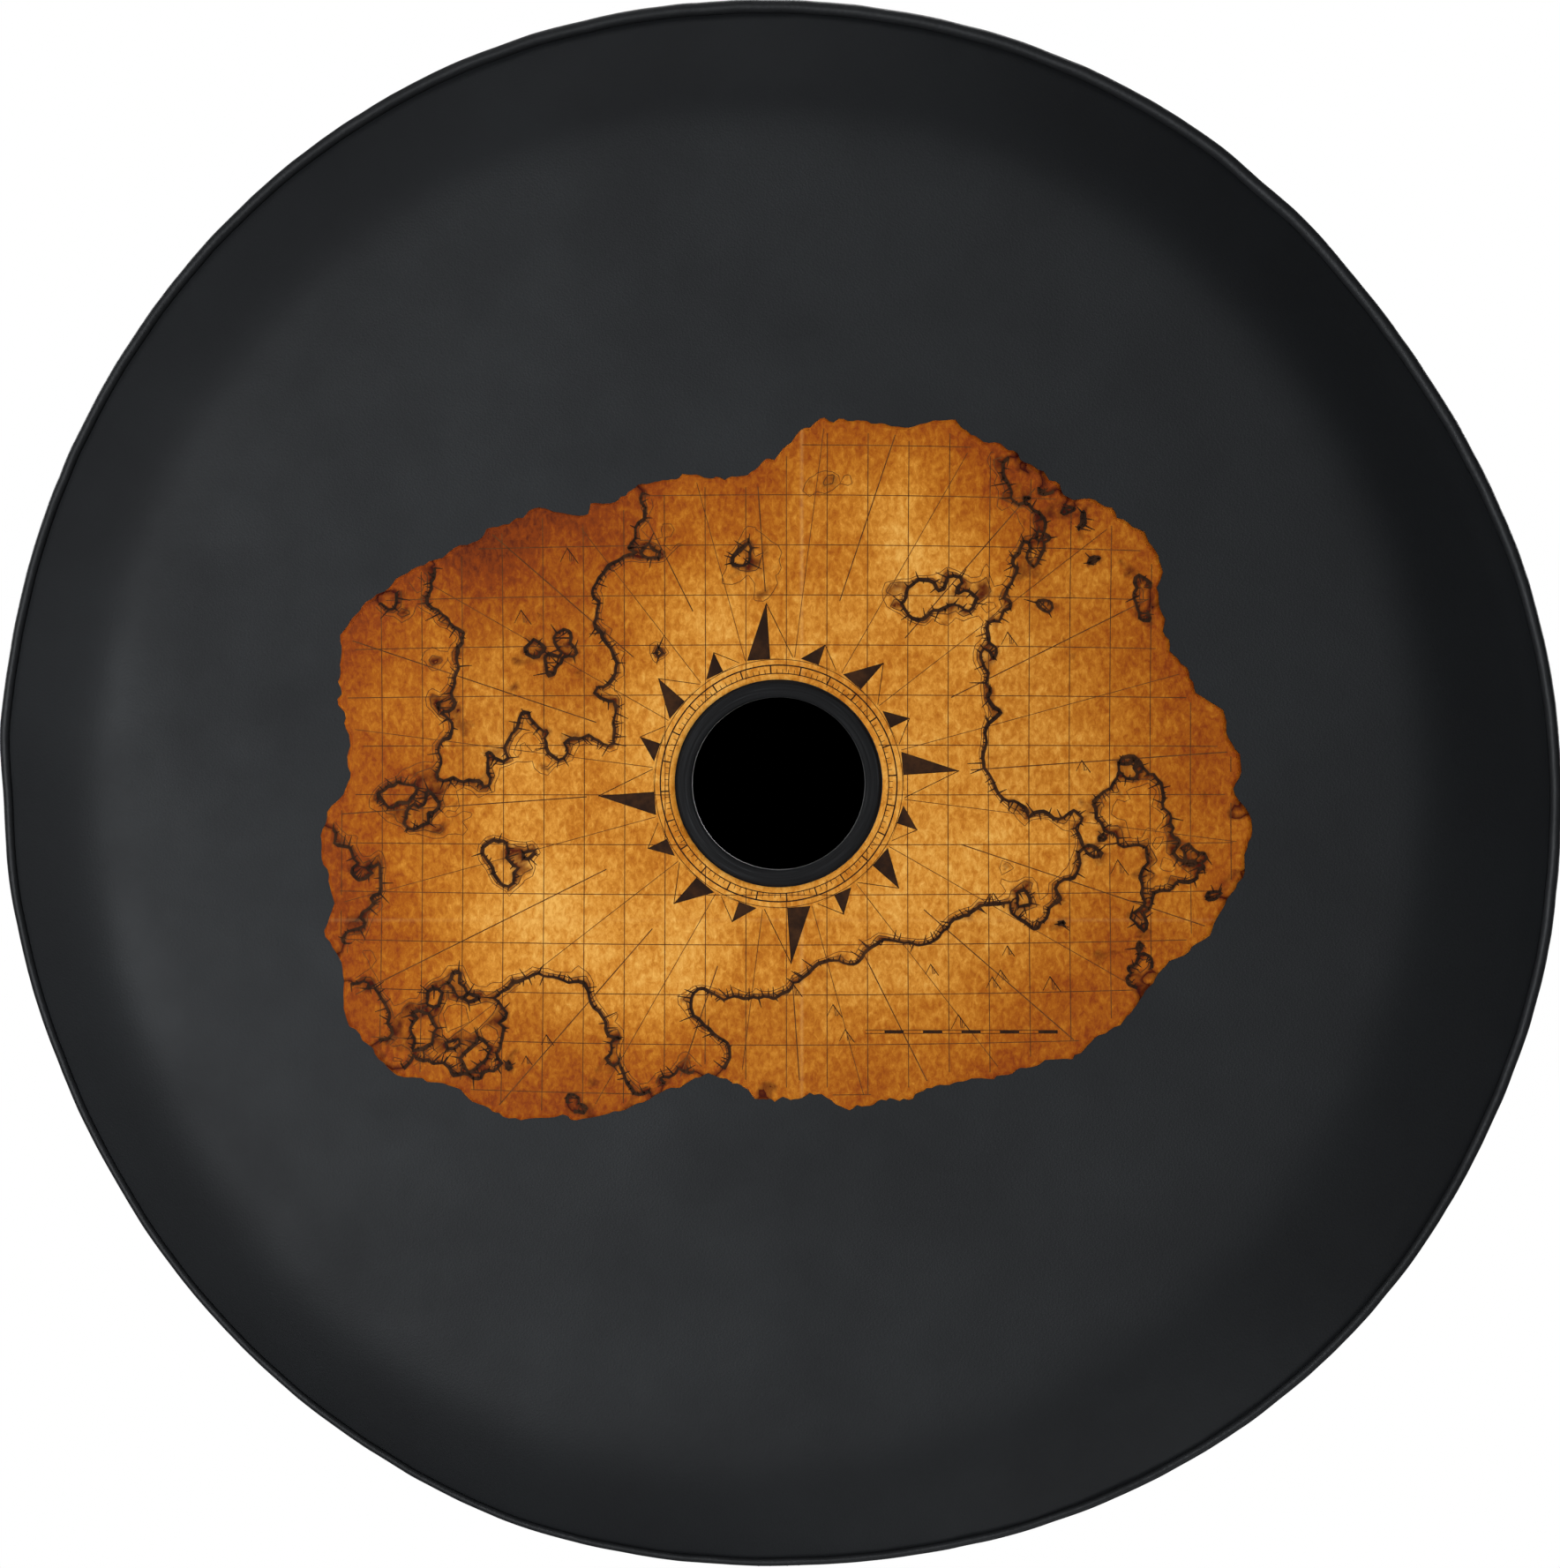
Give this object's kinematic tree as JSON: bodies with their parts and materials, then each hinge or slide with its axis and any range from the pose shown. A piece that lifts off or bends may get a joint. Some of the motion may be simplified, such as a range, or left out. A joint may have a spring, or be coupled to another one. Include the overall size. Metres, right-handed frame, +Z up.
{
  "type": "spare tire cover",
  "caption": "Soft round cover for a spare wheel, with a printed face, a ringed camera opening in its middle, a piped edge, an elastic hem and a buckled strap behind.",
  "frame": {"origin": "centre of the tyre seat: on the wheel's axis, half way between the two sidewalls", "axes": "+Y along the wheel's axis towards the vehicle, so the printed face looks along -Y; +X to the right for someone facing the print; +Z up"},
  "size_m": [0.8184, 0.2704, 0.821],
  "materials": {
    "vinyl": "matte knit-backed vinyl, black",
    "binding_vinyl": "thinner vinyl strip, black, folded and sewn",
    "gasket_rubber": "moulded rubber, matte black",
    "print_ink": "printed ink film, aged paper colours",
    "webbing": "woven webbing, black",
    "elastic": "woven elastic, black",
    "thread": "bonded sewing thread, black",
    "moulded_plastic": "moulded plastic, fine matte grain, black",
    "eyelet_metal": "blackened brass"
  },
  "bodies": {
    "cover": {"face_panel": "vinyl", "hole_doubler": "binding_vinyl", "camera_gasket": "gasket_rubber", "print_film": "print_ink", "edge_piping": "binding_vinyl", "face_seam_thread": "thread", "band_left": "vinyl", "band_right": "vinyl", "band_joint_top": "vinyl", "band_joint_bottom": "vinyl", "drain_eyelets": "eyelet_metal", "drain_washers": "eyelet_metal", "hem_channel": "binding_vinyl", "hem_elastic": "elastic", "hem_thread": "thread", "strap_patch_left": "vinyl", "strap_patch_right": "vinyl", "strap_short": "webbing", "strap_long": "webbing", "strap_threads": "thread", "buckle_socket": "moulded_plastic"},
    "buckle_insert": {"buckle_insert": "moulded_plastic"},
    "prong_upper": {"buckle_prong_upper": "moulded_plastic"},
    "prong_lower": {"buckle_prong_lower": "moulded_plastic"},
    "keeper": {"strap_keeper": "moulded_plastic"}
  },
  "joints": [
    {"name": "insert_pull", "type": "slide", "parent": "cover", "child": "buckle_insert", "axis": [1, 0, 0], "range_m": [0, 0.04], "deforming": ["strap_long", "buckle_prong_upper", "buckle_prong_lower"]},
    {"name": "prong_upper_squeeze", "type": "hinge", "parent": "buckle_insert", "child": "prong_upper", "pos_m": [0.005, 0.13425, -0.1405], "axis": [0, -1, 0], "range_deg": [0, 15], "stiffness_Nm_per_rad": 0.6},
    {"name": "prong_lower_squeeze", "type": "hinge", "parent": "buckle_insert", "child": "prong_lower", "pos_m": [0.005, 0.13425, -0.1595], "axis": [0, 1, 0], "range_deg": [0, 15], "stiffness_Nm_per_rad": 0.6},
    {"name": "keeper_slide", "type": "slide", "parent": "cover", "child": "keeper", "axis": [1, 0, 0], "range_m": [-0.015, 0.015]}
  ],
  "couplings": [
    {"joint": "prong_lower_squeeze", "follows": "prong_upper_squeeze", "ratio": 1}
  ]
}
